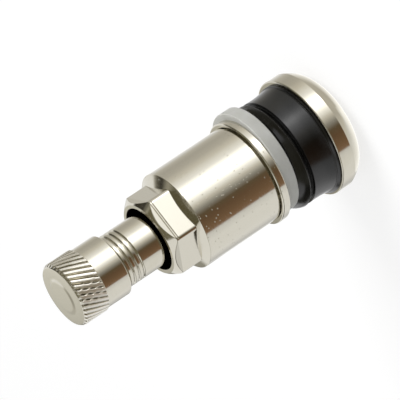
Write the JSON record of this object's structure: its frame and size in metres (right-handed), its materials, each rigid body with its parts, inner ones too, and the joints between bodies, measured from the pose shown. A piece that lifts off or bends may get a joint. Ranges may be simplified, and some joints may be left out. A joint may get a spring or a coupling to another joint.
{
  "type": "tyre valve",
  "caption": "Clamp-in metal tyre valve: broad round head, rubber grommet, washer, hexagon sleeve nut, threaded stem and knurled cap over a sprung core.",
  "frame": {"origin": "centre of the head's flat end, which the valve stands on", "axes": "+Z along the valve's axis from the head to the cap; -Y faces the pictured side; +X is the way the washer lies off centre"},
  "size_m": [0.0176, 0.0176, 0.0457],
  "materials": {
    "nickel_plate": "bright nickel plating on turned brass",
    "black_rubber": "satin moulded rubber",
    "pale_nylon": "matte moulded nylon",
    "core_brass": "plain turned brass",
    "spring_steel": "drawn spring wire"
  },
  "bodies": {
    "stem": {"valve_stem": "nickel_plate", "grommet": "black_rubber", "core_plug": "core_brass", "core_barrel": "core_brass", "barrel_gasket": "black_rubber", "pin_spring": "spring_steel"},
    "pin": {"core_pin": "core_brass", "plunger_cup": "core_brass", "seat_seal": "black_rubber"},
    "seal_lift": {"cap_seal": "black_rubber"},
    "cap": {"valve_cap": "nickel_plate"},
    "washer": {"rim_washer": "pale_nylon"},
    "nut": {"clamp_nut": "nickel_plate"}
  },
  "joints": [
    {"name": "pin_push", "type": "slide", "parent": "stem", "child": "pin", "axis": [0, 0, -1], "range_m": [0, 0.0015], "stiffness_N_per_m": 800, "springref_m": -0.001, "deforming": ["pin_spring"]},
    {"name": "cap_lift", "type": "slide", "parent": "stem", "child": "seal_lift", "axis": [0, 0, 1], "range_m": [0, 0.00476]},
    {"name": "cap_turn", "type": "hinge", "parent": "seal_lift", "child": "cap", "pos_m": [0, 0, 0.0415], "axis": [0, 0, 1], "range_deg": [0, 2160]},
    {"name": "nut_travel", "type": "slide", "parent": "stem", "child": "washer", "axis": [0, 0, 1], "range_m": [0, 0.005]},
    {"name": "nut_turn", "type": "hinge", "parent": "washer", "child": "nut", "pos_m": [0, 0, 0.022], "axis": [0, 0, 1], "range_deg": [0, 1800]}
  ],
  "couplings": [
    {"joint": "cap_turn", "follows": "cap_lift", "rad_per_m": 7915.8},
    {"joint": "nut_turn", "follows": "nut_travel", "rad_per_m": 6283.2}
  ]
}
